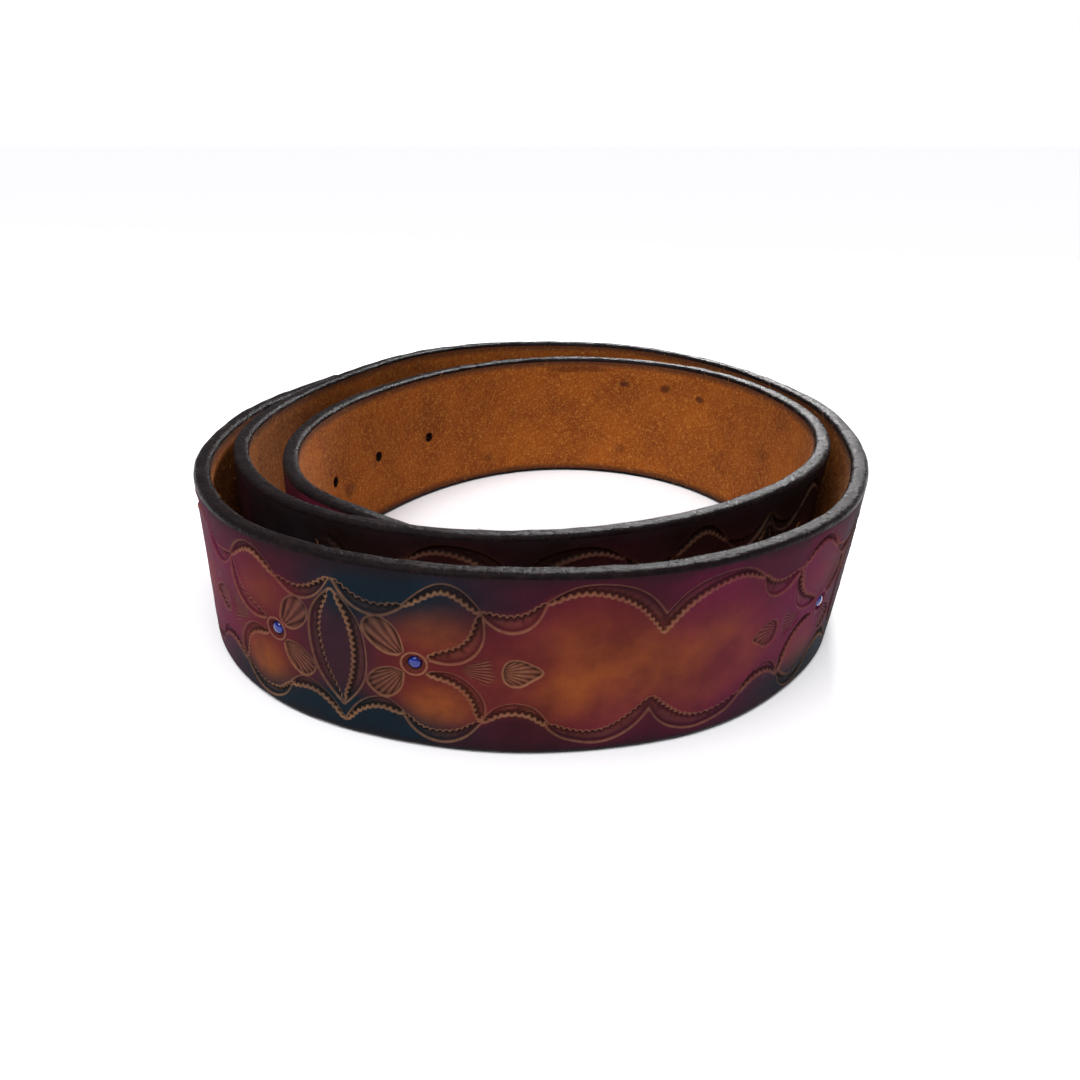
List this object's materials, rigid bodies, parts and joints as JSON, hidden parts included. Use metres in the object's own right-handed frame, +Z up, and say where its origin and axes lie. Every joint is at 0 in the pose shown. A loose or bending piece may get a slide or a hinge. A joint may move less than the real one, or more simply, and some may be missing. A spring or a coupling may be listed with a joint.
{
  "type": "western tooled belt",
  "caption": "Coiled tooled leather belt strap with a rounded tip, punched holes and small blue cabochon stones set in its grain side.",
  "frame": {"origin": "on the floor, under the middle of the coil's box", "axes": "+Z up across the strap's width as it stands on its edge, +Y away from the viewer, along the coil's longer way, +X to the right"},
  "size_m": [0.1604, 0.1724, 0.0405],
  "materials": {
    "tooled_leather": "dyed tooled grain side, suede flesh side and burnished edges",
    "stone": "polished blue cabochon"
  },
  "bodies": {
    "root": {"strap": "tooled_leather", "stone_01": "stone", "stone_02": "stone", "stone_03": "stone", "stone_04": "stone", "stone_05": "stone", "stone_06": "stone", "stone_07": "stone", "stone_08": "stone", "stone_09": "stone", "stone_10": "stone", "stone_11": "stone", "stone_12": "stone", "stone_13": "stone", "stone_14": "stone", "stone_15": "stone", "stone_16": "stone"}
  },
  "joints": []
}
